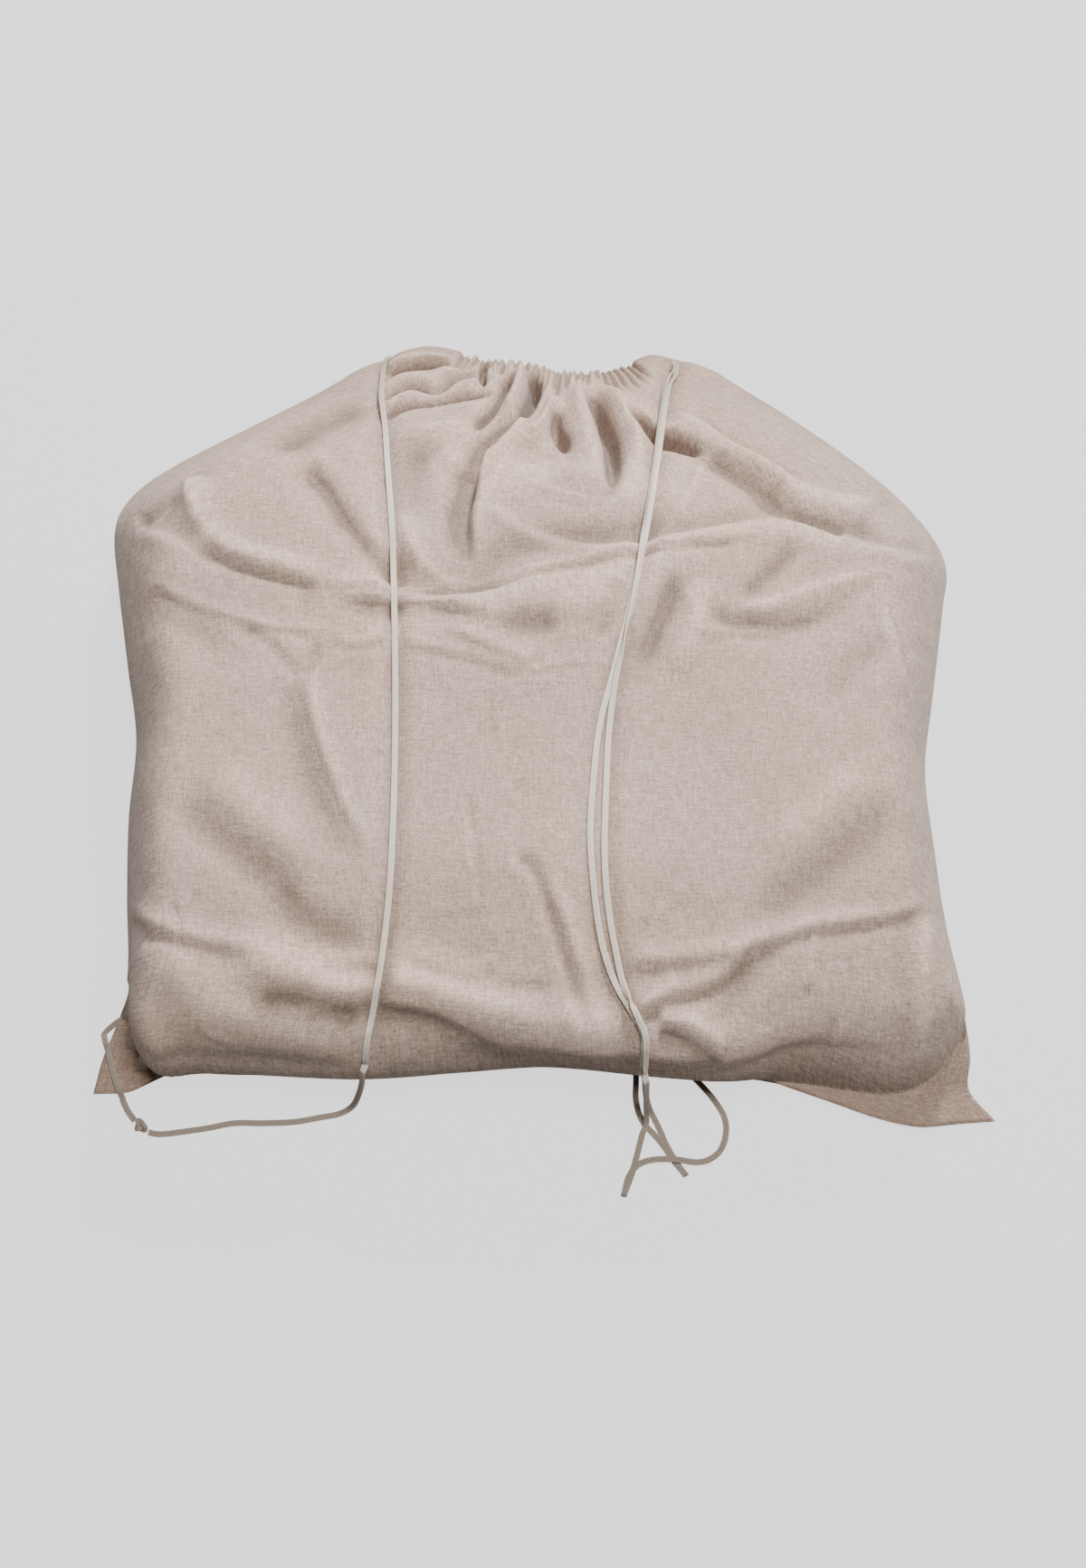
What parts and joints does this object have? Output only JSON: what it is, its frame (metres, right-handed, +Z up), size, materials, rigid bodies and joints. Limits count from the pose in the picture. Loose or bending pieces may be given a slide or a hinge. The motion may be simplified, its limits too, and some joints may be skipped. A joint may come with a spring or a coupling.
{
  "type": "cotton drawstring bag",
  "caption": "Stuffed natural cotton drawstring bag lying on its back, mouth drawn in by two flat braided cords.",
  "frame": {"origin": "centre of the underside of the two panels, on the surface that the bag lies on", "axes": "+X to the right across the bag, +Y from the bottom seam towards the gathered mouth, +Z up"},
  "size_m": [0.4739, 0.5066, 0.1025],
  "materials": {
    "front_cloth": "natural plain-weave cotton, matt",
    "back_cloth": "natural plain-weave cotton, matt",
    "cord": "flat braided cotton cord"
  },
  "bodies": {
    "root": {"front_panel": "front_cloth", "back_panel": "back_cloth", "left_cord_front": "cord", "left_cord_back": "cord", "left_cord_knot": "cord", "right_cord_inner": "cord", "right_cord_outer": "cord"}
  },
  "joints": []
}
